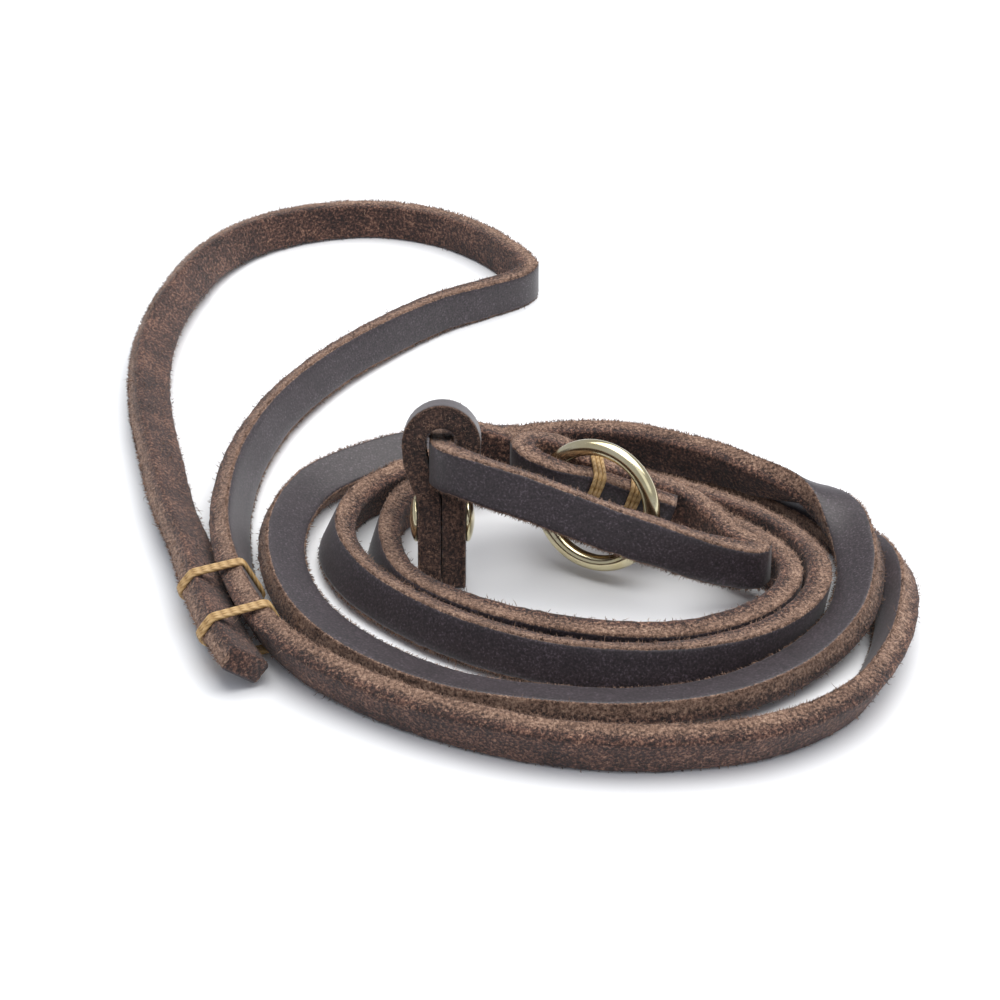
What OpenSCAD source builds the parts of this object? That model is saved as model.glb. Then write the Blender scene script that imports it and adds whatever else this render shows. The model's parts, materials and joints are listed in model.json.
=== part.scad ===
// Flat leather training leash: one strap with a tied hand loop at one end,
// a sliding leather keeper, and a brass ring held in a tied eye at the other end.
// The origin is the middle of the coiled leash on the surface it lies on, with +Z up.

/* [Strap] */
// Width of the strap
strap_w = 8; // [7:0.1:8.4]
// Thickness of the strap
strap_t = 4.4; // [3.6:0.1:4.5]
// Bevel on the strap's four long edges
strap_bevel = 0.8; // [0.3:0.1:1.2]

/* [Ring] */
// Clear diameter inside the ring
ring_bore_d = 19; // [18.6:0.1:19.4]
// Diameter of the ring's wire
ring_wire_d = 3; // [2.4:0.1:3.2]
// How far the ring is turned about the upright
ring_turn = 28; // [26:1:30]
// How far the ring's top leans back
ring_lean = 10; // [8:1:12]

/* [Keeper] */
// Thickness of the keeper's leather
keeper_t = 4.2; // [3.8:0.1:4.4]
// Width of the keeper's strip
keeper_w = 9.5; // [9:0.1:9.6]
// Length of the keeper from its feet to its top
keeper_h = 33.2; // [33.2:0.1:34.6]
// How far the keeper leans back
keeper_lean = 20; // [19:0.5:21]
// Distance of the rivet from the feet
rivet_z = 12; // [11:0.5:12]
// Diameter of the rivet's two caps
rivet_cap_d = 8.6; // [7:0.2:9]

/* [Thread] */
// Thickness of the waxed thread
thread_d = 0.8; // [0.6:0.1:1]
// Width of each wrapping of thread
wrap_w = 2.4; // [1.6:0.2:3]

/* [Hidden] */

// The strap's route. Each point is x, y, z and roll: the roll is the direction that the
// smooth side faces, 0 towards the left of travel, 90 up and 180 towards the right.

// Hand loop: from the stub, up the left side, round the top and back down
handle_route = [
    [-41.6, -83.5, 5.1, -50], [-45.8, -74.5, 5.3, -50], [-50.6, -60.5, 5.3, -50],
    [-54.8, -45, 4.8, -50], [-60.2, -28, 4.3, -52], [-64.7, -9, 4.3, -55], [-68.7, 9, 4.2, -57],
    [-71.2, 27, 4.2, -57], [-71.7, 43, 4.3, -54], [-69.7, 61, 4.6, -42], [-64.2, 82, 4.7, -25],
    [-55.2, 96.5, 4.5, -12], [-42.2, 105, 4.3, -5], [-27.2, 107.5, 4.1, 0], [-13.2, 103, 4.1, 0],
    [-2.7, 94, 4.1, 0], [4.3, 84, 4.1, 0], [6.8, 79, 4.1, 0], [8.3, 74, 4.1, 0], [5.3, 69, 4.1, 0],
    [-2.2, 63.5, 4.2, 3], [-12.2, 56, 4.4, 8], [-23.7, 43, 4.6, 14], [-34.2, 28, 4.7, 20],
    [-42.8, 10, 4.7, 26], [-47.6, -9, 4.7, 30], [-49, -26, 4.7, 30], [-48, -42, 5.2, 30],
    [-44.8, -57.4, 5.7, 26], [-39.2, -71.4, 5.6, 24]];

// Outermost turn of the coil: along the front, round the right end and flat along the back
outer_turn = [
    [-30, -83.2, 5, 20], [-17.2, -93, 4.6, 18], [-3.2, -100.5, 4.6, 18], [12.8, -105.5, 4.6, 18],
    [29.8, -106.5, 4.6, 20], [46.8, -103, 4.7, 24], [60.3, -93.5, 4.7, 26], [68.2, -79.4, 4.7, 30],
    [72, -64.6, 4.7, 34], [71.8, -52, 4.2, 54], [68.6, -41, 3, 78], [63.6, -31.6, 2.4, 90],
    [57.4, -24, 2.3, 90], [50.2, -17.4, 2.3, 90], [41.8, -11.4, 2.3, 90], [32.8, -6, 2.3, 90],
    [21.8, -2.4, 2.3, 90], [10.8, 0, 2.3, 90], [-0.2, 0, 2.6, 84], [-9.2, -2.8, 3.4, 74]];

// Second turn: grain up along the front, then twisting on edge along the back
second_turn = [
    [-18.2, -7.4, 4.1, 66], [-28.2, -14.4, 4.3, 62], [-35, -23, 4.4, 60], [-38.4, -36, 4.4, 60],
    [-37.4, -51, 4.2, 64], [-31.8, -65.2, 3.6, 72], [-21.7, -77.4, 3.3, 76], [-7.2, -87.4, 3.2, 76],
    [8.8, -91.8, 3.2, 76], [24.8, -92.8, 3.2, 76], [40.3, -89.5, 3.4, 76], [53.3, -80.5, 3.6, 74],
    [62.6, -68.8, 4.6, 64], [66.4, -57, 6, 60], [66.7, -47, 7.4, 64], [65, -39, 8.4, 84],
    [62, -33.4, 9, 108], [57.4, -29.2, 9.2, 132], [51, -25.2, 9.1, 152], [43.6, -19.6, 9, 163],
    [35.8, -15.4, 9, 166], [28.3, -12, 8.9, 168], [19.3, -9.4, 8.2, 169], [9.8, -8.4, 7.1, 170],
    [0.8, -9.7, 6.1, 172], [-8.2, -13.2, 5.2, 170]];

// Third turn: on edge with the grain outwards
third_turn = [
    [-16.7, -18.8, 4.7, 166], [-23.7, -25.6, 4.7, 160], [-27.7, -34.5, 4.7, 156], [-28, -44, 4.7, 154],
    [-24.2, -54, 4.7, 156], [-17.2, -63, 4.6, 160], [-6.2, -72.5, 4.6, 162], [7.8, -80, 4.6, 162],
    [21.8, -83, 4.6, 162], [35.8, -81.5, 4.4, 168], [48.3, -75, 4.2, 178], [56.4, -64.8, 4.3, 187],
    [58.6, -53.6, 4.4, 190], [54.4, -42.6, 4.4, 192], [45.6, -33, 4.3, 190], [33.8, -25, 4.2, 186],
    [19.8, -18.4, 4.1, 182], [5.8, -15.8, 4.1, 180], [-5.7, -18.4, 4.2, 176]];

// Innermost turn, which climbs at the back and enters the keeper
inner_turn = [
    [-14.7, -25.6, 4.3, 170], [-19, -35.5, 4.5, 164], [-19.2, -46.7, 4.5, 164],
    [-15.1, -57.5, 4.3, 170], [-5.2, -66, 4.2, 178], [6.8, -72, 4.3, 184], [19.8, -75.3, 4.3, 188],
    [32.8, -75.5, 4.4, 190], [43.8, -71, 4.4, 190], [51, -64, 4.3, 188], [53.6, -56.5, 4.3, 186],
    [52.2, -50, 4.3, 184], [48.4, -44.2, 4.3, 184], [43.4, -39, 4.4, 182], [38, -34.8, 5.1, 180],
    [29.5, -31.4, 7.3, 180], [20.3, -29.8, 10.5, 180], [11.8, -28.6, 12.9, 180],
    [4.8, -27.9, 15.2, 180], [-1.2, -27.9, 17.2, 180], [-6, -29.4, 18.9, 180], [-8.5, -33, 20.1, 180],
    [-8.8, -37.6, 21.1, 180], [-8.8, -42.4, 22.7, 180]];

// End: out of the keeper, down to the hairpin, back up to the eye, and the short tail
noose_end = [
    [-8.7, -46.8, 24.3, 176], [-7.7, -50.4, 25.3, 172], [-4.6, -52.9, 25.4, 168],
    [0.2, -54.2, 24.1, 164], [6.4, -55.2, 22.3, 162], [13, -56.4, 20.1, 162], [20.8, -57.2, 17.2, 164],
    [28.8, -57.6, 14.5, 168], [36.8, -57.4, 11.4, 174], [43.3, -56.8, 9.3, 178],
    [47.2, -55.8, 8.2, 180], [48.4, -54, 7.8, 180], [46.8, -52.2, 7.8, 180], [43.6, -49.2, 8.3, 180],
    [40.6, -44.4, 9.2, 180], [36.3, -40.2, 10.5, 180], [31.3, -38.8, 12.1, 180],
    [25.3, -38.4, 14, 180], [18, -37.4, 16.3, 180], [14.2, -35.4, 17.8, 180], [10.8, -34.8, 19, 180],
    [7.2, -36, 20, 180], [5.8, -39, 20.4, 180], [7.2, -42.2, 20.2, 180], [10.8, -44, 19, 180],
    [14.4, -44, 17.7, 180], [18.4, -43, 16.3, 180], [25.8, -43.4, 13.7, 180], [32.8, -44.2, 11.4, 180]];

route = concat(handle_route, outer_turn, second_turn, third_turn, inner_turn, noose_end);

// Route positions that the thread wrappings go round, as pairs of point numbers
handle_tie_1_at = [2, 28];
handle_tie_2_at = [1, 29];
last_point = len(route) - 1;
eye_tie_1_at = [last_point - 2, last_point - 10];
eye_tie_2_at = [last_point - 1, last_point - 11];

// The middle of the ring, and the middle of the back edge that the keeper's feet stand on
ring_centre = [19.4, -44.6, 14.2];
ring_mean_r = (ring_bore_d + ring_wire_d) / 2;
keeper_x = -8.7;
keeper_foot_y = -46.5;

// The keeper's outline: legs pressed together below, a round head above
strap_room = 0.7;
slot_half = strap_t / 2 + strap_room;
leg_half = keeper_t + 0.1;
head_r = slot_half + keeper_t;
head_z = keeper_h - head_r;
shoulder_z = 16.6;
slot_low_z = 18.9;
slot_foot_z = 15.4;
slit_half = 0.08;

// The rivet
shank_r = 1.5;
shank_gap = 0.05;
cap_t = 1.6;
cap_edge_t = 0.5;
cap_gap = 0.02;

fine = 96;

function unit(v) = v / norm(v);

// Direction of travel at point i, from its two neighbours
function travel(i) = unit([for (k = [0:2])
    route[min(i + 1, last_point)][k] - route[max(i - 1, 0)][k]]);

// The section's axes at point i: through the thickness, across the width, along the strap
function left_of(t) = unit(cross([0, 0, 1], t));
function facing(t, roll) = cos(roll) * left_of(t) + sin(roll) * cross(t, left_of(t));
function place(i) = [for (k = [0:2]) route[i][k]];

// A bevelled rectangle, anticlockwise about the direction of travel
function strap_outline() = let (x = strap_t / 2, y = strap_w / 2, b = strap_bevel) [
    [x, y - b], [x - b, y], [b - x, y], [-x, y - b],
    [-x, b - y], [b - x, -y], [x - b, -y], [x, b - y]];

function strap_ring(i) = let (t = travel(i), g = facing(t, route[i][3]), across = cross(t, g))
    [for (p = strap_outline()) place(i) + g * p[0] + across * p[1]];

module sweep_strap() {
    sides = len(strap_outline());
    points = [for (i = [0:last_point]) each strap_ring(i)];
    walls = [for (i = [0:last_point - 1], s = [0:sides - 1])
        let (a = i * sides, b = a + sides, n = (s + 1) % sides)
        each [[a + s, b + s, b + n], [a + s, b + n, a + n]]];
    start_cap = [for (s = [0:sides - 1]) s];
    end_cap = [for (s = [sides - 1:-1:0]) last_point * sides + s];
    polyhedron(points, concat(walls, [start_cap, end_cap]), convexity = 10);
}

// A short block of the strap's section at point i, grown on every side
module strap_block(i, grow, length) {
    along = travel(i);
    g = facing(along, route[i][3]);
    across = cross(along, g);
    centre = place(i);
    multmatrix([
        [g[0], across[0], along[0], centre[0]],
        [g[1], across[1], along[1], centre[1]],
        [g[2], across[2], along[2], centre[2]],
        [0, 0, 0, 1]])
        cube([strap_t + 2 * grow, strap_w + 2 * grow, length], center = true);
}

// Thread wound round the two strands that pass points pair[0] and pair[1]
module wrapping(pair) {
    color("burlywood") difference() {
        hull() {
            strap_block(pair[0], thread_d, wrap_w);
            strap_block(pair[1], thread_d, wrap_w);
        }
        hull() {
            strap_block(pair[0], 0, 2 * wrap_w);
            strap_block(pair[1], 0, 2 * wrap_w);
        }
    }
}

module strap() {
    color("#3f3438") sweep_strap();
}

module ring() {
    color("#d9cc92") translate(ring_centre) rotate([90 - ring_lean, 0, -ring_turn])
        rotate_extrude($fn = fine) translate([ring_mean_r, 0]) circle(d = ring_wire_d, $fn = fine / 2);
}

// Leans what stands on its feet back over the back edge of the feet
module leaned() {
    translate([keeper_x, keeper_foot_y, 0]) rotate([-keeper_lean, 0, 0])
        translate([0, -keeper_w / 2, 0]) children();
}

// The keeper's outline from the front, with its feet at zero
module keeper_outline() {
    difference() {
        union() {
            translate([0, head_z]) circle(head_r, $fn = fine);
            polygon([[-leg_half, shoulder_z], [leg_half, shoulder_z], [head_r, head_z], [-head_r, head_z]]);
            translate([-leg_half, 0]) square([2 * leg_half, shoulder_z]);
        }
        translate([0, head_z]) circle(slot_half, $fn = fine);
        translate([-slot_half, slot_low_z]) square([2 * slot_half, head_z - slot_low_z]);
        polygon([[-slit_half, slot_foot_z], [slit_half, slot_foot_z],
            [slot_half, slot_low_z], [-slot_half, slot_low_z]]);
        translate([-slit_half, -1]) square([2 * slit_half, slot_foot_z + 1]);
    }
}

module keeper() {
    color("#4a3430") difference() {
        leaned() rotate([90, 0, 0])
            linear_extrude(height = keeper_w, center = true) keeper_outline();
        leaned() translate([0, 0, rivet_z]) rotate([0, 90, 0])
            cylinder(r = shank_r + shank_gap, h = 4 * leg_half, center = true, $fn = fine);
    }
}

// A low domed cap, flat side down
module domed_cap() {
    rise = cap_t - cap_edge_t;
    cap_r = rivet_cap_d / 2;
    dome_r = (cap_r * cap_r + rise * rise) / (2 * rise);
    intersection() {
        cylinder(r = cap_r, h = cap_t, $fn = fine);
        translate([0, 0, cap_t - dome_r]) sphere(dome_r, $fn = fine);
    }
}

// The rivet's post: a cap on the keeper's right leg with a shank that runs through both legs
module rivet_post() {
    color("#d9cc92") leaned() translate([leg_half + cap_gap, 0, rivet_z]) rotate([0, 90, 0]) {
        domed_cap();
        translate([0, 0, -2 * leg_half]) cylinder(r = shank_r, h = 2 * leg_half + cap_edge_t, $fn = fine);
    }
}

module rivet_cap() {
    color("#d9cc92") leaned() translate([-leg_half - cap_gap, 0, rivet_z]) rotate([0, -90, 0])
        domed_cap();
}

module handle_tie_1() { wrapping(handle_tie_1_at); }
module handle_tie_2() { wrapping(handle_tie_2_at); }
module eye_tie_1() { wrapping(eye_tie_1_at); }
module eye_tie_2() { wrapping(eye_tie_2_at); }

strap();
ring();
keeper();
rivet_post();
rivet_cap();
handle_tie_1();
handle_tie_2();
eye_tie_1();
eye_tie_2();
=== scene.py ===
# %% [markdown]
# A leather training leash is one long strap, a brass ring and a small leather keeper. It lies
# coiled, with the hand loop stretched out to the left. The CAD frame already holds every piece
# at its real size, so the scene starts by loading that frame and keeping its box.

# %% Load the frame
import bmesh
import bpy
import json
import math
import random
from mathutils import Matrix, Vector, noise


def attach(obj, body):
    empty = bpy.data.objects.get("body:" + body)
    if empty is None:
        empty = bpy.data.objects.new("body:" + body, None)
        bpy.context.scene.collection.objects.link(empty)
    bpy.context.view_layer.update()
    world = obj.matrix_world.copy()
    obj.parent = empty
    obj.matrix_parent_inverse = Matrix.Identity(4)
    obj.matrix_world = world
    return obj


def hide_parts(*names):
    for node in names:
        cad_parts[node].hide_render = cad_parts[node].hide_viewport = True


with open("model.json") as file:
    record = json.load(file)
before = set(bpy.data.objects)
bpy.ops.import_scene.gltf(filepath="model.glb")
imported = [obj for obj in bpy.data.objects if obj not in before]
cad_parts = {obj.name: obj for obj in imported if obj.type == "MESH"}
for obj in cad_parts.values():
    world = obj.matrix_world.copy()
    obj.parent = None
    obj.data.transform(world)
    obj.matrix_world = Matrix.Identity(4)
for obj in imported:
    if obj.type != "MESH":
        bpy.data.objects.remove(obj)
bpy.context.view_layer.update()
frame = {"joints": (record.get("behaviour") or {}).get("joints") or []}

MM = 0.001

# %% [markdown]
# A long lens from some way off keeps the coil from looking stretched. The camera stands in
# front and above, 30 degrees over the table, and looks at the middle of the coil.

# %% Camera
VIEW_HEIGHT = math.radians(30)
VIEW_DISTANCE = 0.490
LENS = 91.0
coil_middle = Vector((0.0018, -0.0180, 0.0))

camera_data = bpy.data.cameras.new("camera")
camera_data.lens = LENS
camera = bpy.data.objects.new("camera", camera_data)
back_off = Vector((0, -math.cos(VIEW_HEIGHT), math.sin(VIEW_HEIGHT))) * VIEW_DISTANCE
camera.location = coil_middle + back_off
camera.rotation_euler = (math.pi / 2 - VIEW_HEIGHT, 0, 0)
bpy.context.collection.objects.link(camera)
bpy.context.scene.camera = camera
print("camera at", [round(v, 3) for v in camera.location])

# %% [markdown]
# The strap's route is a list of points chosen along the real lay of the leash: x, y and z in
# millimetres, then a roll. The roll is the way that the smooth side faces: 0 is left of travel,
# 90 is up and 180 is right of travel. It starts at the cut end beside the hand loop and ends at
# the short tail behind the ring. The parts of the list follow the turns of the coil.

# %% The strap's route
HANDLE_ROUTE = [
    (-41.6, -83.5, 5.1, -50), (-45.8, -74.5, 5.3, -50), (-50.6, -60.5, 5.3, -50), (-54.8, -45, 4.8, -50),
    (-60.2, -28, 4.3, -52), (-64.7, -9, 4.3, -55), (-68.7, 9, 4.2, -57), (-71.2, 27, 4.2, -57),
    (-71.7, 43, 4.3, -54), (-69.7, 61, 4.6, -42), (-64.2, 82, 4.7, -25), (-55.2, 96.5, 4.5, -12),
    (-42.2, 105, 4.3, -5), (-27.2, 107.5, 4.1, 0), (-13.2, 103, 4.1, 0), (-2.7, 94, 4.1, 0),
    (4.3, 84, 4.1, 0), (6.8, 79, 4.1, 0), (8.3, 74, 4.1, 0), (5.3, 69, 4.1, 0), (-2.2, 63.5, 4.2, 3),
    (-12.2, 56, 4.4, 8), (-23.7, 43, 4.6, 14), (-34.2, 28, 4.7, 20), (-42.8, 10, 4.7, 26),
    (-47.6, -9, 4.7, 30), (-49, -26, 4.7, 30), (-48, -42, 5.2, 30), (-44.8, -57.4, 5.7, 26),
    (-39.2, -71.4, 5.6, 24),
]
OUTER_TURN = [
    (-30, -83.2, 5, 20), (-17.2, -93, 4.6, 18), (-3.2, -100.5, 4.6, 18), (12.8, -105.5, 4.6, 18),
    (29.8, -106.5, 4.6, 20), (46.8, -103, 4.7, 24), (60.3, -93.5, 4.7, 26), (68.2, -79.4, 4.7, 30),
    (72, -64.6, 4.7, 34), (71.8, -52, 4.2, 54), (68.6, -41, 3, 78), (63.6, -31.6, 2.4, 90),
    (57.4, -24, 2.3, 90), (50.2, -17.4, 2.3, 90), (41.8, -11.4, 2.3, 90), (32.8, -6, 2.3, 90),
    (21.8, -2.4, 2.3, 90), (10.8, 0, 2.3, 90), (-0.2, 0, 2.6, 84), (-9.2, -2.8, 3.4, 74),
]
SECOND_TURN = [
    (-18.2, -7.4, 4.1, 66), (-28.2, -14.4, 4.3, 62), (-35, -23, 4.4, 60), (-38.4, -36, 4.4, 60),
    (-37.4, -51, 4.2, 64), (-31.8, -65.2, 3.6, 72), (-21.7, -77.4, 3.3, 76), (-7.2, -87.4, 3.2, 76),
    (8.8, -91.8, 3.2, 76), (24.8, -92.8, 3.2, 76), (40.3, -89.5, 3.4, 76), (53.3, -80.5, 3.6, 74),
    (62.6, -68.8, 4.6, 64), (66.4, -57, 6, 60), (66.7, -47, 7.4, 64), (65, -39, 8.4, 84),
    (62, -33.4, 9, 108), (57.4, -29.2, 9.2, 132), (51, -25.2, 9.1, 152), (43.6, -19.6, 9, 163),
    (35.8, -15.4, 9, 166), (28.3, -12, 8.9, 168), (19.3, -9.4, 8.2, 169), (9.8, -8.4, 7.1, 170),
    (0.8, -9.7, 6.1, 172), (-8.2, -13.2, 5.2, 170),
]
THIRD_TURN = [
    (-16.7, -18.8, 4.7, 166), (-23.7, -25.6, 4.7, 160), (-27.7, -34.5, 4.7, 156), (-28, -44, 4.7, 154),
    (-24.2, -54, 4.7, 156), (-17.2, -63, 4.6, 160), (-6.2, -72.5, 4.6, 162), (7.8, -80, 4.6, 162),
    (21.8, -83, 4.6, 162), (35.8, -81.5, 4.4, 168), (48.3, -75, 4.2, 178), (56.4, -64.8, 4.3, 187),
    (58.6, -53.6, 4.4, 190), (54.4, -42.6, 4.4, 192), (45.6, -33, 4.3, 190), (33.8, -25, 4.2, 186),
    (19.8, -18.4, 4.1, 182), (5.8, -15.8, 4.1, 180), (-5.7, -18.4, 4.2, 176),
]
INNER_TURN = [
    (-14.7, -25.6, 4.3, 170), (-19, -35.5, 4.5, 164), (-19.2, -46.7, 4.5, 164), (-15.1, -57.5, 4.3, 170),
    (-5.2, -66, 4.2, 178), (6.8, -72, 4.3, 184), (19.8, -75.3, 4.3, 188), (32.8, -75.5, 4.4, 190),
    (43.8, -71, 4.4, 190), (51, -64, 4.3, 188), (53.6, -56.5, 4.3, 186), (52.2, -50, 4.3, 184),
    (48.4, -44.2, 4.3, 184), (43.4, -39, 4.4, 182), (38, -34.8, 5.1, 180), (29.5, -31.4, 7.3, 180),
    (20.3, -29.8, 10.5, 180), (11.8, -28.6, 12.9, 180), (4.8, -27.9, 15.2, 180),
    (-1.2, -27.9, 17.2, 180), (-6, -29.4, 18.9, 180), (-8.5, -33, 20.1, 180), (-8.8, -37.6, 21.1, 180),
    (-8.8, -42.4, 22.7, 180),
]
NOOSE_END = [
    (-8.7, -46.8, 24.3, 176), (-7.7, -50.4, 25.3, 172), (-4.6, -52.9, 25.4, 168),
    (0.2, -54.2, 24.1, 164), (6.4, -55.2, 22.3, 162), (13, -56.4, 20.1, 162), (20.8, -57.2, 17.2, 164),
    (28.8, -57.6, 14.5, 168), (36.8, -57.4, 11.4, 174), (43.3, -56.8, 9.3, 178), (47.2, -55.8, 8.2, 180),
    (48.4, -54, 7.8, 180), (46.8, -52.2, 7.8, 180), (43.6, -49.2, 8.3, 180), (40.6, -44.4, 9.2, 180),
    (36.3, -40.2, 10.5, 180), (31.3, -38.8, 12.1, 180), (25.3, -38.4, 14, 180), (18, -37.4, 16.3, 180),
    (14.2, -35.4, 17.8, 180), (10.8, -34.8, 19, 180), (7.2, -36, 20, 180), (5.8, -39, 20.4, 180),
    (7.2, -42.2, 20.2, 180), (10.8, -44, 19, 180), (14.4, -44, 17.7, 180), (18.4, -43, 16.3, 180),
    (25.8, -43.4, 13.7, 180), (32.8, -44.2, 11.4, 180),
]
ROUTE = HANDLE_ROUTE + OUTER_TURN + SECOND_TURN + THIRD_TURN + INNER_TURN + NOOSE_END
print("route:", len(ROUTE), "points")

# %% [markdown]
# A smooth strap needs many more rings than the route has points. A Catmull-Rom curve runs
# through every point, and its samples are then spaced evenly, so that the leather's pattern and
# the mesh keep one scale from end to end.

# %% A smooth, evenly spaced line
def curve_through(points, steps=12):
    """Samples of a Catmull-Rom curve through points of any number of values."""
    ends = [[2 * a - b for a, b in zip(points[0], points[1])]] + [list(p) for p in points]
    ends.append([2 * a - b for a, b in zip(points[-1], points[-2])])
    samples = []
    for p0, p1, p2, p3 in zip(ends, ends[1:], ends[2:], ends[3:]):
        for k in range(steps):
            t = k / steps
            samples.append([
                0.5 * (2 * b + (c - a) * t + (2 * a - 5 * b + 4 * c - d) * t * t
                       + (3 * b - a - 3 * c + d) * t ** 3)
                for a, b, c, d in zip(p0, p1, p2, p3)])
    return samples + [list(points[-1])]


def spaced(samples, step):
    """The same line with its samples one step apart; the first three values are the place."""
    run = [0.0]
    for a, b in zip(samples, samples[1:]):
        run.append(run[-1] + (Vector(b[:3]) - Vector(a[:3])).length)
    count = max(2, round(run[-1] / step))
    even, k = [], 0
    for n in range(count + 1):
        s = run[-1] * n / count
        while k < len(run) - 2 and run[k + 1] < s:
            k += 1
        t = (s - run[k]) / (run[k + 1] - run[k])
        even.append([a + (b - a) * t for a, b in zip(samples[k], samples[k + 1])])
    return even, run[-1]


STRAP_W, STRAP_T = 8.0, 4.4
strap_line, strap_length = spaced(curve_through(ROUTE), 1.5)
print("strap length, mm:", round(strap_length, 1), "in", len(strap_line), "rings")

# %% [markdown]
# Each ring of the sweep needs three directions: along the strap, out of the smooth side, and
# across the width. The roll turns the last two about the first. Cross products of the upright
# and the direction of travel give the left and the upward side, and the roll mixes them.

# %% The directions at each ring
def strap_axes(line):
    """(place, facing, across) for each sample of a rolled line, in metres."""
    axes = []
    for k, sample in enumerate(line):
        before, after = line[max(k - 1, 0)], line[min(k + 1, len(line) - 1)]
        along = (Vector(after[:3]) - Vector(before[:3])).normalized()
        left = Vector((0, 0, 1)).cross(along).normalized()
        roll = math.radians(sample[3])
        facing = left * math.cos(roll) + along.cross(left) * math.sin(roll)
        axes.append((Vector(sample[:3]) * MM, facing, along.cross(facing)))
    return axes


# %% [markdown]
# The same sweep makes the strap, the keeper and the thread, because all three are one outline
# carried along a line. Each vertex also stores where it is in the section: `thick` runs from -1
# on the rough side to 1 on the smooth side, `across` from -1 to 1 over the width, and `run` is
# the distance along in metres. The leather reads these, so its colours follow the strap.

# A curve object with a bevel profile could make such a strip too, but it couldn't store these
# three values, so the sweep places its own rings of vertices.

# %% A piece in the scene, and what it stands for
def new_piece(name, mesh, material=None):
    """Puts a mesh in the scene as a smooth object at the origin."""
    mesh.shade_smooth()
    if material:
        mesh.materials.append(material)
    piece = bpy.data.objects.new(name, mesh)
    bpy.context.collection.objects.link(piece)
    return piece


def belongs(piece, body, slot, *nodes):
    """Hides the CAD nodes that a piece stands for and ties it to the body it rides on. slot is not used."""
    if nodes:
        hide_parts(*nodes)
    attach(piece, body)


# %% Outlines and the sweep
def bevelled_outline(thickness, width, radius, corner_steps=3, side_points=4):
    """A rounded rectangle as (through, across) pairs in millimetres, anticlockwise."""
    x, y = thickness / 2 - radius, width / 2 - radius
    arcs = []
    for turn, (cx, cy) in enumerate(((x, y), (-x, y), (-x, -y), (x, -y))):
        for k in range(corner_steps + 1):
            a = math.pi / 2 * (turn + k / corner_steps)
            arcs.append((cx + radius * math.cos(a), cy + radius * math.sin(a)))
    outline = []
    for k, point in enumerate(arcs):
        outline.append(point)
        after = arcs[(k + 1) % len(arcs)]
        if (k + 1) % (corner_steps + 1) == 0:
            for n in range(1, side_points + 1):
                t = n / (side_points + 1)
                outline.append(tuple(a + (b - a) * t for a, b in zip(point, after)))
    return outline


def sweep(name, axes, outline, closed=False, shape=None):
    """A tube of the outline along axes. shape(k, through, across) may change each ring's points."""
    half_t = max(p[0] for p in outline)
    half_w = max(p[1] for p in outline)
    verts, thick, across, run = [], [], [], []
    distance, last = 0.0, axes[0][0]
    for k, (place, facing, side) in enumerate(axes):
        distance += (place - last).length
        last = place
        for x, y in outline:
            sx, sy = shape(k, x, y) if shape else (x, y)
            verts.append(place + facing * sx * MM + side * sy * MM)
            thick.append(x / half_t)
            across.append(y / half_w)
            run.append(distance)
    rings, sides = len(axes), len(outline)
    faces = []
    for k in range(rings if closed else rings - 1):
        a, b = k * sides, (k + 1) % rings * sides
        for s in range(sides):
            n = (s + 1) % sides
            faces.append((a + s, a + n, b + n, b + s))
    if not closed:
        faces.append(tuple(reversed(range(sides))))
        faces.append(tuple(range((rings - 1) * sides, rings * sides)))
    mesh = bpy.data.meshes.new(name)
    mesh.from_pydata(verts, [], faces)
    for label, values in (("thick", thick), ("across", across), ("run", run)):
        mesh.attributes.new(label, "FLOAT", "POINT").data.foreach_set("value", values)
    return new_piece(name, mesh)


# %% [markdown]
# Every material starts from hex colours. Screens store colour with a curve, and
# the renderer wants it linear, so one function does that step. One more adds a node to a
# material with its settings and its links, which keeps each material below readable.

# %% Colour and node helpers
def linear(hex_colour):
    """(r, g, b, 1) in linear light from a #rrggbb string."""
    channels = [int(hex_colour[k:k + 2], 16) / 255 for k in (1, 3, 5)]
    return [c / 12.92 if c <= 0.04045 else ((c + 0.055) / 1.055) ** 2.4 for c in channels] + [1.0]


def add(tree, kind, links=(), sockets=(), **settings):
    """A new node. links and sockets map an input's name or number to an output or a value."""
    node = tree.nodes.new("ShaderNode" + kind)
    for key, value in settings.items():
        setattr(node, key, value)
    for key, value in dict(sockets).items():
        node.inputs[key].default_value = value
    for key, output in dict(links).items():
        tree.links.new(output, node.inputs[key])
    return node


def new_material(name):
    """(material, tree, Principled shader) with nothing else in the tree."""
    material = bpy.data.materials.new(name)
    material.use_nodes = True
    shader = material.node_tree.nodes["Principled BSDF"]
    return material, material.node_tree, shader


def ramp(tree, source, stops):
    """A colour ramp from a value: stops are (position, hex colour)."""
    node = add(tree, "ValToRGB", links={"Fac": source})
    elements = node.color_ramp.elements
    elements[0].position, elements[0].color = stops[0][0], linear(stops[0][1])
    elements[1].position, elements[1].color = stops[-1][0], linear(stops[-1][1])
    for position, colour in stops[1:-1]:
        elements.new(position).color = linear(colour)
    return node.outputs["Color"]


def fade(tree, source, low, high):
    """0 below low, 1 above high and smooth between, as a mask."""
    return add(tree, "MapRange", links={"Value": source}, sockets={"From Min": low, "From Max": high},
               interpolation_type="SMOOTHSTEP").outputs["Result"]
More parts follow.
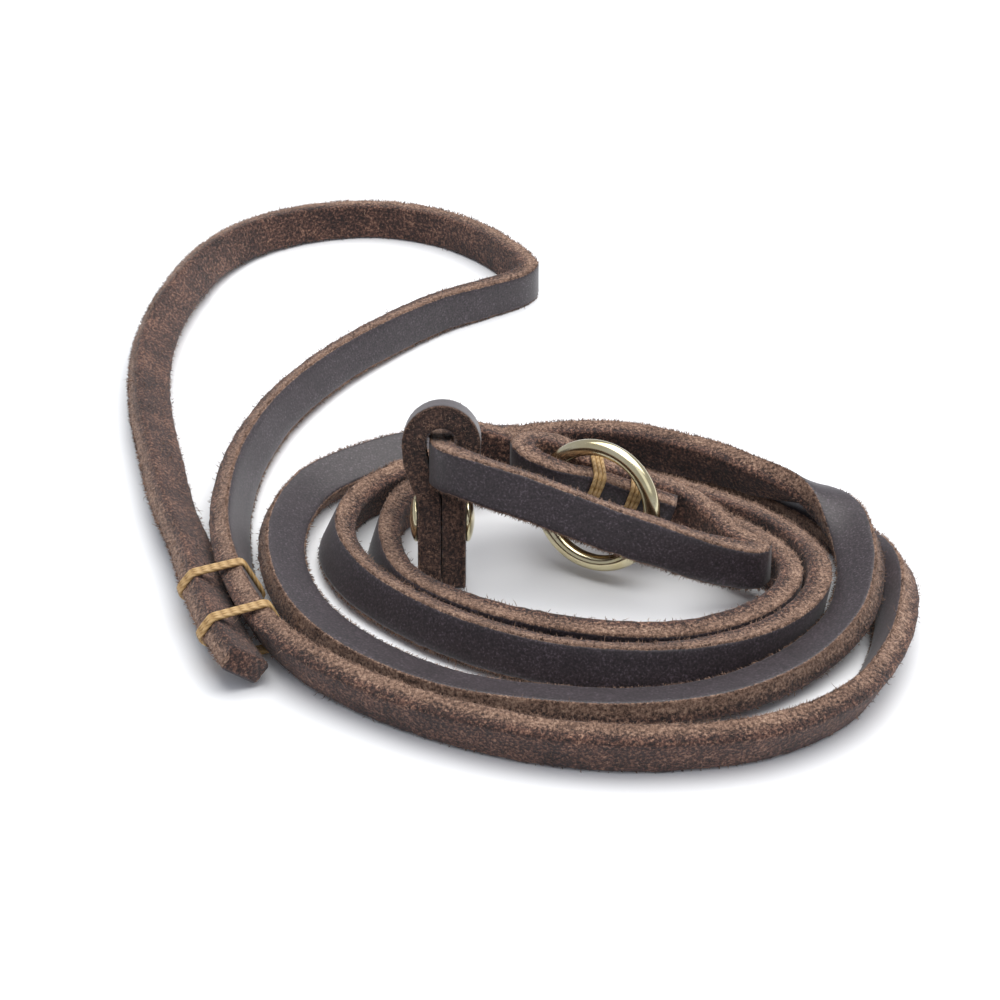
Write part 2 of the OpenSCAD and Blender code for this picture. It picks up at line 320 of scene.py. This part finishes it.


# %% [markdown]
# Vegetable-tanned harness leather has three faces. The grain side is the skin's outside: dyed
# dark, waxed, with pores about 0.4 mm apart and a soft sheen. The flesh side and the cut edges
# are bare fibre: a brown nap with paler and darker tufts about half a millimetre across. On the
# cut edges the colour turns paler towards the grain side.
# Masks made from `thick` and `across` choose between them, and noise frays each border.

# %% Harness leather
def harness_leather(name, grain_stops, nap_stops, pale_stops, pale_from=-0.55):
    """Leather with a dark grain, a brown nap and cut edges that turn pale above pale_from."""
    material, tree, shader = new_material(name)
    thick = add(tree, "Attribute", attribute_name="thick").outputs["Fac"]
    across = add(tree, "Attribute", attribute_name="across").outputs["Fac"]
    place = add(tree, "TexCoord").outputs["Object"]

    # Tufts of nap 0.55 mm apart, pores 0.4 mm apart, and a slow change of tone every 6 mm.
    tufts = add(tree, "TexNoise", {"Vector": place},
                {"Scale": 1 / (0.55 * MM), "Detail": 5, "Roughness": 0.72})
    patches = add(tree, "TexNoise", {"Vector": place}, {"Scale": 1 / (6 * MM), "Detail": 2})
    pores = add(tree, "TexNoise", {"Vector": place},
                {"Scale": 1 / (0.4 * MM), "Detail": 3, "Roughness": 0.6})

    # The two masks, with borders frayed by the tufts.
    fray = add(tree, "Math", {0: tufts.outputs["Fac"]}, {1: 0.5}, operation="SUBTRACT")
    side = add(tree, "Math", {0: across}, operation="ABSOLUTE")
    frayed_side = add(tree, "Math", {0: fray.outputs[0], 2: side.outputs[0]}, {1: 0.10},
                      operation="MULTIPLY_ADD")
    frayed_thick = add(tree, "Math", {0: fray.outputs[0], 2: thick}, {1: 1.6},
                       operation="MULTIPLY_ADD")
    cut = fade(tree, frayed_side.outputs[0], 0.90, 0.945)
    smooth_side = fade(tree, thick, 0.80, 0.90)
    pale = fade(tree, frayed_thick.outputs[0], pale_from, pale_from + 0.9)

    toned = add(tree, "Math", {0: patches.outputs["Fac"], 2: tufts.outputs["Fac"]}, {1: 0.22},
                operation="MULTIPLY_ADD")
    nap_colour = ramp(tree, toned.outputs[0], nap_stops)
    pale_colour = ramp(tree, toned.outputs[0], pale_stops)
    grain_tone = add(tree, "Math", {0: patches.outputs["Fac"], 2: pores.outputs["Fac"]}, {1: 0.14},
                     operation="MULTIPLY_ADD")
    grain_colour = ramp(tree, grain_tone.outputs[0], grain_stops)

    # A colour mix has its factor at socket 0 and its two colours at sockets 6 and 7.
    edge_colour = add(tree, "Mix", {0: pale, 6: nap_colour, 7: pale_colour}, data_type="RGBA")
    face_colour = add(tree, "Mix", {0: smooth_side, 6: nap_colour, 7: grain_colour}, data_type="RGBA")
    colour = add(tree, "Mix", {0: cut, 6: face_colour.outputs[2], 7: edge_colour.outputs[2]},
                 data_type="RGBA")
    tree.links.new(colour.outputs[2], shader.inputs["Base Color"])

    # Grain is waxed, with a roughness of 0.46; bare fibre is matt, at 0.95.
    uncut = add(tree, "Math", {1: cut}, {0: 1.0}, operation="SUBTRACT")
    waxed = add(tree, "Math", {0: smooth_side, 1: uncut.outputs[0]}, operation="MULTIPLY")
    roughness = add(tree, "MapRange", {"Value": waxed.outputs[0]}, {"To Min": 0.95, "To Max": 0.46})
    tree.links.new(roughness.outputs["Result"], shader.inputs["Roughness"])

    # Nap stands 0.35 mm proud, and pores are 0.05 mm deep.
    nap_bump = add(tree, "Bump", {"Height": tufts.outputs["Fac"]},
                   {"Strength": 0.9, "Distance": 0.35 * MM})
    pore_bump = add(tree, "Bump", {"Height": pores.outputs["Fac"]},
                    {"Strength": 0.35, "Distance": 0.05 * MM})
    normal = add(tree, "Mix", {0: waxed.outputs[0], 4: nap_bump.outputs["Normal"],
                               5: pore_bump.outputs["Normal"]}, data_type="VECTOR")
    tree.links.new(normal.outputs[1], shader.inputs["Normal"])
    shader.inputs["IOR"].default_value = 1.5
    shader.inputs["Sheen Weight"].default_value = 0.12
    shader.inputs["Sheen Roughness"].default_value = 0.5
    return material


strap_leather = harness_leather(
    "harness_leather_strap",
    grain_stops=[(0.40, "#151013"), (0.55, "#2b2226"), (0.66, "#382e33"), (0.76, "#564c53")],
    nap_stops=[(0.47, "#150d0c"), (0.60, "#3a2621"), (0.69, "#6c4b3e"), (0.82, "#ad876f")],
    pale_stops=[(0.45, "#2d1e18"), (0.57, "#6a5042"), (0.68, "#937562"), (0.84, "#c0a48e")])
keeper_leather = harness_leather(
    "harness_leather_keeper",
    grain_stops=[(0.40, "#191416"), (0.55, "#31282c"), (0.66, "#3e3439"), (0.76, "#5c5258")],
    nap_stops=[(0.47, "#120c0b"), (0.60, "#34241f"), (0.70, "#5c4338"), (0.84, "#9c7c66")],
    pale_stops=[(0.44, "#2d1f1a"), (0.60, "#54403a"), (0.80, "#927361")], pale_from=0.7)
print("leathers:", strap_leather.name, keeper_leather.name)

# %% [markdown]
# The strap itself. A cut strap is never quite even: the knife wanders by a tenth of a
# millimetre, and the raw edges swell and shrink. Slow noise moves each ring's points a little,
# more at the cut edges and the rough side than on the smooth side. A Displace modifier could do
# the same, but the noise knows here which side each point is on.

# %% The strap
STRAP_ROUNDING = 0.75
WANDER_EVERY, WANDER_BY = 1 / 0.09, 0.22 * 0.25 / 3
LUMPS_EVERY, LUMPS_BY = 1 / 0.9, 0.16 / 3
strap_axes_list = strap_axes(strap_line)


def hand_cut(k, x, y):
    """Moves a point of ring k by 0.3 mm at most, and mostly by less than half of that."""
    place = strap_axes_list[k][0] / MM
    wander = noise.noise(place / WANDER_EVERY) * WANDER_BY
    lumps = noise.noise(Vector((place.x, place.y, place.z + x * 1.7 + y * 2.3)) / LUMPS_EVERY) * LUMPS_BY
    near_edge = max(0.0, min(1.0, (abs(y) - 3.2) / 0.6))
    on_rough_side = 0.8 if x < -1.6 else 0.0
    grow = 1 + wander + lumps * min(near_edge + on_rough_side, 1.0)
    return x * grow, y * grow


strap = sweep("strap_leather_strip", strap_axes_list,
              bevelled_outline(STRAP_T, STRAP_W, STRAP_ROUNDING), shape=hand_cut)
strap.data.materials.append(strap_leather)
belongs(strap, "leash", "strap_leather", "strap")
print("strap faces:", len(strap.data.polygons))

# %% [markdown]
# Loose fibres stand out from the raw edges, and they show most against the light. They are the
# same brown as the nap, a little paler, because single fibres let light through. Hair curves
# could make them, but a mesh is exported as it stands, so all the hairs of a piece are one mesh.

# %% Fibre and the mesh of hairs
HAIR_CLEAR = 0.1 * MM
fibre, fibre_tree, fibre_shader = new_material("leather_fibre_brown")
fibre_place = add(fibre_tree, "TexCoord").outputs["Object"]
fibre_tone = add(fibre_tree, "TexNoise", {"Vector": fibre_place}, {"Scale": 1 / (1.2 * MM)})
fibre_tree.links.new(ramp(fibre_tree, fibre_tone.outputs["Fac"], [(0.35, "#4c382f"), (0.7, "#a48470")]),
                     fibre_shader.inputs["Base Color"])
fibre_shader.inputs["Roughness"].default_value = 0.8


def hair_piece(name, verts, faces):
    """One piece from all the hairs' vertices, which are kept just above the table."""
    for v in verts:
        v.z = max(v.z, HAIR_CLEAR)
    mesh = bpy.data.meshes.new(name)
    mesh.from_pydata(verts, [], faces)
    print(name, "faces:", len(faces))
    return new_piece(name, mesh, fibre)


# %% [markdown]
# Each loose fibre is a three-sided hair with one bend, 0.3 to 1.9 mm long. Four in five grow from
# the cut edges, and the rest from the rough side. The random numbers are seeded, so that every
# run grows the same hairs.

# %% Loose fibres
THIRDS_OF_A_TURN = (0, 2.094, 4.189)


def grow_fibres(name, axes, half_t, half_w, count, seed, longest=1.9):
    """Bent hairs at random places on a strip of the given half thickness and half width."""
    random.seed(seed)
    verts, faces = [], []
    for n in range(count):
        place, facing, across = axes[random.randrange(2, len(axes) - 2)]
        edge = random.choice((-1, 1))
        if random.random() < 0.8:
            x, y = random.uniform(-1, 1) * half_t, edge * half_w * 0.97
            out = across * edge + facing * (0.5 * x / half_t)
        else:
            x, y = -half_t * 0.97, random.uniform(-0.95, 0.95) * half_w
            out = -facing
        root = place + facing * x * MM + across * y * MM
        sway = Vector([random.gauss(0, 0.55) for _ in range(3)])
        out = (out.normalized() + sway).normalized()
        length = min(longest, 0.3 + random.expovariate(3.2)) * MM
        thin = random.uniform(0.045, 0.080) * MM
        bend = Vector([random.gauss(0, 0.35) for _ in range(3)])
        middle = root + out * length * 0.5
        tip = root + (out + bend).normalized() * length
        u = out.orthogonal().normalized() * thin
        w = out.cross(u)
        first = len(verts)
        for centre, size in ((root, 1.0), (middle, 0.8)):
            for a in THIRDS_OF_A_TURN:
                verts.append(centre + (u * math.cos(a) + w * math.sin(a)) * size)
        verts.append(tip)
        for s in range(3):
            t = (s + 1) % 3
            faces.append((first + s, first + t, first + 3 + t, first + 3 + s))
            faces.append((first + 3 + s, first + 3 + t, first + 6))
    return hair_piece(name, verts, faces)


strap_fibres = grow_fibres("strap_loose_fibres", strap_axes_list, STRAP_T / 2, STRAP_W / 2,
                           count=21000, seed=4)
belongs(strap_fibres, "leash", "strap_leather")

# %% [markdown]
# Right beside the smooth side the fibres are short and dense, like the edge of a rug, so each
# cut edge keeps a fringe against its dark face. These hairs are plain three-sided spikes,
# because there are many of them.

# %% Fringe along the cut edges
def grow_fringe(name, axes, half_t, half_w, count, seed):
    """Short straight hairs along a strip's cut edges, three in five of them by the smooth side."""
    random.seed(seed)
    verts, faces = [], []
    for n in range(count):
        place, facing, across = axes[random.randrange(1, len(axes) - 1)]
        along = facing.cross(across)
        edge = random.choice((-1, 1))
        if random.random() < 0.6:
            x = half_t * (0.72 + 0.2 * random.random())
        else:
            x = random.uniform(-1, 1) * half_t * 0.9
        lean_out = random.uniform(0.1, 0.7) if x > 0 else random.uniform(-0.6, 0.2)
        out = across * edge + facing * lean_out + along * random.gauss(0, 0.6)
        root_shift = facing * x + across * edge * half_w * 0.95 + along * random.uniform(-0.8, 0.8)
        root = place + root_shift * MM
        tip = root + out.normalized() * random.uniform(0.35, 0.85) * MM
        u = out.orthogonal().normalized() * random.uniform(0.05, 0.10) * MM
        w = out.normalized().cross(u)
        first = len(verts)
        verts += [root + u, root - u * 0.5 + w * 0.87, root - u * 0.5 - w * 0.87, tip]
        for s in range(3):
            faces.append((first + s, first + (s + 1) % 3, first + 3))
    return hair_piece(name, verts, faces)


strap_fringe = grow_fringe("strap_edge_fringe", strap_axes_list, STRAP_T / 2, STRAP_W / 2,
                           count=52000, seed=11)
belongs(strap_fringe, "leash", "strap_leather")

# %% [markdown]
# The keeper is a second strip of the same leather, folded over the strap with its smooth side
# out. Its line goes up the left leg, round the head and down the right leg. The legs lie flat
# together, and above them the strip opens round the strap. A flat strip could be bent with
# modifiers, but a line drawn where the fold runs puts the legs and the head just where they are.

# %% The keeper
KEEPER_T, KEEPER_W, KEEPER_H = 4.2, 9.5, 33.2
KEEPER_ROUNDING = 0.5
KEEPER_LEAN = math.radians(20)
KEEPER_FOOT = Vector((-8.7, -46.5, 0.0))
HEAD_MID_R = 5.0
leg_mid = KEEPER_T / 2 + 0.1
head_z = KEEPER_H - HEAD_MID_R - KEEPER_T / 2
lean = Matrix.Rotation(-KEEPER_LEAN, 3, "X")


def leaned(x, depth, z):
    """A place on the keeper, in millimetres, after it leans back on its feet's back edge."""
    return KEEPER_FOOT + lean @ Vector((x, depth - KEEPER_W / 2, z))


left_leg = [(-leg_mid, z) for z in (0.05, 4, 8, 12, 15)] + [(-2.65, 17.4), (-3.75, 19.9), (-4.7, 22.8)]
head = [(-HEAD_MID_R * math.cos(a), head_z + HEAD_MID_R * math.sin(a))
        for a in (math.pi * k / 10 for k in range(11))]
right_leg = [(-x, z) for x, z in reversed(left_leg)]
keeper_points = [leaned(x, 0, z) for x, z in left_leg + head + right_leg]
keeper_line, keeper_length = spaced(curve_through(keeper_points), 0.8)


def fold_axes(line):
    """(place, facing, across) for the folded strip, smooth side out."""
    axes = []
    for k, sample in enumerate(line):
        along = (Vector(line[min(k + 1, len(line) - 1)]) - Vector(line[max(k - 1, 0)])).normalized()
        facing = along.cross(lean @ Vector((0, 1, 0)))
        axes.append((Vector(sample) * MM, facing, along.cross(facing)))
    return axes


keeper_axes = fold_axes(keeper_line)
keeper = sweep("keeper_leather_strip", keeper_axes,
               bevelled_outline(KEEPER_T, KEEPER_W, KEEPER_ROUNDING))
keeper.data.materials.append(keeper_leather)
belongs(keeper, "keeper", "keeper_leather", "keeper")
keeper_fibres = grow_fibres("keeper_loose_fibres", keeper_axes, KEEPER_T / 2, KEEPER_W / 2,
                            count=1500, seed=9, longest=1.2)
belongs(keeper_fibres, "keeper", "keeper_leather")
keeper_fringe = grow_fringe("keeper_edge_fringe", keeper_axes, KEEPER_T / 2, KEEPER_W / 2,
                            count=5000, seed=12)
belongs(keeper_fringe, "keeper", "keeper_leather")
print("keeper strip, mm:", round(keeper_length, 1))

# %% [markdown]
# The ring and the rivet's caps are polished brass. Brass reflects a pale yellow, and polishing
# leaves fine marks that spread its highlights slightly. Handling dulls it in patches about 5 mm
# wide, so one slow noise moves both its colour and its roughness.

# %% Polished brass
brass, brass_tree, brass_shader = new_material("brass_polished")
brass_place = add(brass_tree, "TexCoord").outputs["Object"]
tarnish = add(brass_tree, "TexNoise", {"Vector": brass_place}, {"Scale": 1 / (5 * MM), "Detail": 4})
brass_tree.links.new(ramp(brass_tree, tarnish.outputs["Fac"], [(0.3, "#d2c59a"), (0.7, "#e8dfc0")]),
                     brass_shader.inputs["Base Color"])
polish = add(brass_tree, "MapRange", {"Value": tarnish.outputs["Fac"]}, {"To Min": 0.12, "To Max": 0.24})
brass_tree.links.new(polish.outputs["Result"], brass_shader.inputs["Roughness"])
brass_shader.inputs["Metallic"].default_value = 1.0


def brass_piece(name, bm, body, node):
    """Makes a spun bmesh into a brass piece that rides on a body and stands for a CAD node."""
    bmesh.ops.remove_doubles(bm, verts=bm.verts, dist=1e-6)
    bmesh.ops.recalc_face_normals(bm, faces=bm.faces)
    mesh = bpy.data.meshes.new(name)
    bm.to_mesh(mesh)
    bm.free()
    belongs(new_piece(name, mesh, brass), body, "brass", node)
    print(name, "faces:", len(mesh.polygons))


# %% [markdown]
# The ring is drawn brass wire, bent round and brazed shut. A torus would do for its shape, but a
# circle spun round an axis is the same and leaves its size in two plain numbers. The frame's own
# joint gives its middle and the way that it faces. The brazed joint is a faint collar.

# %% The ring
ring_joint = [j for j in frame["joints"] if j["name"] == "ring_turn"][0]
ring_centre = Vector(ring_joint["pos_m"])
ring_axis = Vector(ring_joint["axis"]).normalized()
WIRE_R = 1.5 * MM
RING_MEAN_R = 11 * MM
BRAZE_AT, BRAZE_HALF_WIDTH, BRAZE_SWELL = -155.0, 4.6, 1.035

bm = bmesh.new()
wire = bmesh.ops.create_circle(bm, segments=28, radius=WIRE_R)["verts"]
bmesh.ops.rotate(bm, verts=wire, matrix=Matrix.Rotation(math.pi / 2, 3, "X"))
bmesh.ops.translate(bm, verts=wire, vec=(RING_MEAN_R, 0, 0))
bmesh.ops.spin(bm, geom=bm.verts[:] + bm.edges[:], axis=(0, 0, 1), cent=(0, 0, 0), steps=120,
               angle=2 * math.pi, use_merge=True)
for v in bm.verts:
    turn = math.degrees(math.atan2(v.co.y, v.co.x))
    middle = Vector((v.co.x, v.co.y, 0)).normalized() * RING_MEAN_R
    if abs(turn - BRAZE_AT) < BRAZE_HALF_WIDTH:
        v.co = middle + (v.co - middle) * BRAZE_SWELL
bmesh.ops.transform(bm, verts=bm.verts, matrix=ring_axis.to_track_quat("Z", "Y").to_matrix().to_4x4())
bmesh.ops.translate(bm, verts=bm.verts, vec=ring_centre)
brass_piece("ring_brass_wire", bm, "ring", "ring")

# %% [markdown]
# A rapid rivet shows only its two domed caps, one on each side of the keeper. Each is a profile
# spun round the rivet's line: flat against the leather, a rolled rim, then a low dome. A squashed
# sphere would lack the rim, which is what catches the light.

# %% The rivet's caps
RIVET_R, RIVET_SCALE_H = 4.3, 2.8
RIVET_UP = 12.0
leg_face = KEEPER_T + 0.12


def rivet_dome(name, node, outwards):
    """A cap on the leg that lies outwards: 1 for the right leg and -1 for the left."""
    profile = [(0.0, 0.0), (0.96, 0.0), (1.0, 0.08), (0.985, 0.2), (0.9, 0.3), (0.7, 0.42), (0.4, 0.52),
               (0.15, 0.56), (0.0, 0.57)]
    bm = bmesh.new()
    rim = [bm.verts.new((r * RIVET_R * MM, 0, h * RIVET_SCALE_H * MM)) for r, h in profile]
    for a, b in zip(rim, rim[1:]):
        bm.edges.new((a, b))
    bmesh.ops.spin(bm, geom=bm.verts[:] + bm.edges[:], axis=(0, 0, 1), cent=(0, 0, 0), steps=48,
                   angle=2 * math.pi, use_merge=True)
    bmesh.ops.rotate(bm, verts=bm.verts, matrix=Matrix.Rotation(outwards * math.pi / 2, 3, "Y"))
    bmesh.ops.rotate(bm, verts=bm.verts, matrix=lean)
    bmesh.ops.translate(bm, verts=bm.verts, vec=leaned(outwards * leg_face, 0, RIVET_UP) * MM)
    brass_piece(name, bm, "keeper", node)


rivet_dome("rivet_dome_right", "rivet_post", 1)
rivet_dome("rivet_dome_left", "rivet_cap", -1)

# %% [markdown]
# Waxed linen thread binds the doubled strap in four places. It is two plies twisted together,
# with a groove between them every 1.6 mm. The colour carries painted shade, a darker band in that
# groove, and painted light, paler on top of each ply. `run` and `across` give the place along and
# round the thread, so the bands climb round it as a twist does.

# %% Waxed thread
THREAD_D = 0.8
TWIST_EVERY = 1.6 * MM
thread, thread_tree, thread_shader = new_material("linen_thread_waxed")
thread_run = add(thread_tree, "Attribute", attribute_name="run").outputs["Fac"]
thread_turn = add(thread_tree, "Attribute", attribute_name="across").outputs["Fac"]
twist_at = add(thread_tree, "Math", {0: thread_run, 2: thread_turn}, {1: 2 / TWIST_EVERY},
               operation="MULTIPLY_ADD")
twist = add(thread_tree, "Math", {0: twist_at.outputs[0]}, {1: 1.0}, operation="PINGPONG")
# Painted shade and light: darkest in the groove between the plies, palest on their tops.
ply_shade_and_light_colour = ramp(thread_tree, twist.outputs[0], [(0.0, "#8c6c40"), (0.35, "#ac8a58"), (1.0, "#c0a070")])
thread_tree.links.new(ply_shade_and_light_colour, thread_shader.inputs["Base Color"])
twist_bump = add(thread_tree, "Bump", {"Height": twist.outputs[0]}, {"Strength": 0.6, "Distance": 0.12 * MM})
thread_tree.links.new(twist_bump.outputs["Normal"], thread_shader.inputs["Normal"])
thread_shader.inputs["Roughness"].default_value = 0.55

# %% [markdown]
# Each binding is three turns laid side by side. A turn follows the smallest loop round both
# strands: the convex hull of their two sections, in the plane across the strap, moved out by half
# a thread. A stretched torus would cut through the strap's corners or stand off its sides.

# %% The loop round two strands
def hull_2d(points):
    """The convex hull of (x, y) points, anticlockwise."""
    ordered = sorted(set(points))
    chains = []
    for run in (ordered, ordered[::-1]):
        chain = []
        for p in run:
            while len(chain) > 1 and ((chain[-1][0] - chain[-2][0]) * (p[1] - chain[-2][1])
                                      - (chain[-1][1] - chain[-2][1]) * (p[0] - chain[-2][0])) <= 0:
                chain.pop()
            chain.append(p)
        chains += chain[:-1]
    return chains


def section_at(index):
    """(place, facing, across) of the strap at a point of its route."""
    window = [ROUTE[k] for k in (max(index - 1, 0), index, min(index + 1, len(ROUTE) - 1))]
    return strap_axes(window)[1 if 0 < index < len(ROUTE) - 1 else 0]


def loop_round(sections):
    """(middle, sideways, upwards, along, loop) for the thread's loop round two sections."""
    outline = bevelled_outline(STRAP_T + THREAD_D, STRAP_W + THREAD_D, STRAP_ROUNDING + THREAD_D / 2, 3, 0)
    middle = (sections[0][0] + sections[1][0]) / 2
    along = sections[0][1].cross(sections[0][2]).normalized()
    sideways = (sections[1][0] - sections[0][0])
    sideways = (sideways - along * sideways.dot(along)).normalized()
    upwards = along.cross(sideways)
    flat = []
    for place, facing, across in sections:
        for x, y in outline:
            p = place + facing * x * MM + across * y * MM - middle
            flat.append((round(p.dot(sideways), 6), round(p.dot(upwards), 6)))
    loop = hull_2d(flat)
    loop.append(loop[0])
    even, length = spaced([(x / MM, y / MM, 0.0) for x, y in loop], 0.55)
    print("one turn, mm:", round(length, 1))
    return middle, sideways, upwards, along, even[:-1]


# %% Turns side by side
TURNS = 3
TURN_PITCH = THREAD_D * 0.92
SLANT = 0.12


def turn_axes(turn, middle, sideways, upwards, along, loop):
    """(place, facing, across) along one turn of thread, kept above the table."""
    shift = (turn - (TURNS - 1) / 2) * TURN_PITCH
    axes = []
    for k, (x, y, _) in enumerate(loop):
        after, before = loop[(k + 1) % len(loop)], loop[k - 1]
        tangent = (sideways * (after[0] - before[0]) + upwards * (after[1] - before[1])).normalized()
        slant = math.sin(k / len(loop) * 2 * math.pi + turn) * SLANT
        place = middle + (sideways * x + upwards * y + along * (shift + slant)) * MM
        place.z = max(place.z, THREAD_D / 2 * MM)
        axes.append((place, along, tangent.cross(along)))
    return axes


def bind(name, node, first, second):
    """Turns of thread round the strap where it passes route points first and second."""
    loop = loop_round([section_at(first), section_at(second)])
    outline = bevelled_outline(THREAD_D, THREAD_D, THREAD_D * 0.49, 3, 0)
    parts = [sweep(name + "_" + str(turn), turn_axes(turn, *loop), outline, closed=True)
             for turn in range(TURNS)]
    with bpy.context.temp_override(active_object=parts[0], selected_editable_objects=parts):
        bpy.ops.object.join()
    binding = parts[0]
    binding.name = name
    binding.data.materials.append(thread)
    belongs(binding, "leash", "thread", node)
    print(name, "faces:", len(binding.data.polygons))


last = len(ROUTE) - 1
bind("handle_binding_upper", "handle_tie_1", 2, 28)
bind("handle_binding_lower", "handle_tie_2", 1, 29)
bind("eye_binding_left", "eye_tie_1", last - 2, last - 10)
bind("eye_binding_right", "eye_tie_2", last - 1, last - 11)

# %% [markdown]
# The leash lies on a plain white table under soft white light from all round, with one broad
# light almost overhead and a faint one from the front. The white surroundings matter: brass and
# waxed leather show mostly what they reflect. The Standard view keeps the white table white, where
# the default view would turn it grey.

# %% Table and light
table, table_tree, table_shader = new_material("table_white_laminate")
table_shader.inputs["Base Color"].default_value = linear("#f1f2f4")
table_shader.inputs["Roughness"].default_value = 0.6
bm = bmesh.new()
bmesh.ops.create_grid(bm, x_segments=1, y_segments=1, size=6.0)
table_mesh = bpy.data.meshes.new("table_top")
bm.to_mesh(table_mesh)
bm.free()
new_piece("table_top", table_mesh, table)

world = bpy.data.worlds.new("studio")
world.use_nodes = True
world.node_tree.nodes["Background"].inputs["Color"].default_value = linear("#f2f5ff")
world.node_tree.nodes["Background"].inputs["Strength"].default_value = 0.50
bpy.context.scene.world = world
bpy.context.scene.view_settings.view_transform = "Standard"


def soft_light(name, place, aim, size, watts, colour):
    """A square area light at a place, aimed at a point."""
    data = bpy.data.lights.new(name, "AREA")
    data.size = size
    data.energy = watts
    data.color = linear(colour)[:3]
    lamp = bpy.data.objects.new(name, data)
    lamp.location = place
    lamp.rotation_euler = (Vector(aim) - Vector(place)).to_track_quat("-Z", "Y").to_euler()
    bpy.context.collection.objects.link(lamp)


soft_light("light_overhead", (0.25, 0.15, 1.4), (0, 0, 0), size=1.8, watts=34.0, colour="#fffefb")
soft_light("light_front", (0.6, -0.9, 0.8), (0, 0, 0), size=0.8, watts=1.5, colour="#f4f8ff")
print("lights: light_overhead, light_front")
